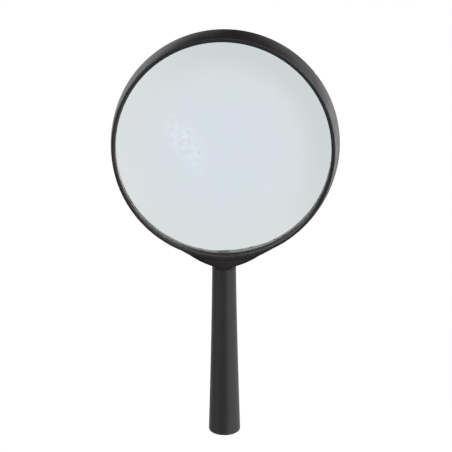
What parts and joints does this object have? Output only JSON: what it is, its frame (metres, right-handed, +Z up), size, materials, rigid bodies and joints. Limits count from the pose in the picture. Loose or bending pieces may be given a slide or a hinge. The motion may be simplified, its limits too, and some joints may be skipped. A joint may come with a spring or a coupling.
{
  "type": "magnifying glass",
  "caption": "Hand-held magnifying glass: a biconvex glass lens snapped into a round black plastic frame that screws onto a flared, hollow plastic handle.",
  "frame": {"origin": "centre of the handle's flat end face, on the handle's axis", "axes": "+Z up the handle to the lens; +Y along the lens's optical axis, from the front of the frame to its back; +X to the right of someone facing the front"},
  "size_m": [0.1094, 0.0174, 0.1995],
  "materials": {
    "frame_plastic": "moulded black, satin",
    "lens_glass": "polished faces, ground edge",
    "ring_plastic": "moulded black, satin",
    "stud_steel": "zinc plated",
    "handle_plastic": "moulded black, fine satin texture",
    "insert_brass": "turned",
    "plug_plastic": "moulded black, satin"
  },
  "bodies": {
    "handle": {"handle": "handle_plastic", "handle_insert": "insert_brass", "handle_end_plug": "plug_plastic"},
    "stud": {"neck_stud": "stud_steel"},
    "head": {"lens_frame": "frame_plastic", "lens": "lens_glass", "lens_retaining_ring": "ring_plastic"}
  },
  "joints": [
    {"name": "head_lift", "type": "slide", "parent": "handle", "child": "stud", "axis": [0, 0, 1], "range_m": [0, 0.00825]},
    {"name": "head_turn", "type": "hinge", "parent": "stud", "child": "head", "pos_m": [0, 0, 0.0865], "axis": [0, 0, 1], "range_deg": [0, 2970]}
  ],
  "couplings": [
    {"joint": "head_lift", "follows": "head_turn", "m_per_rad": 0.00015915}
  ]
}
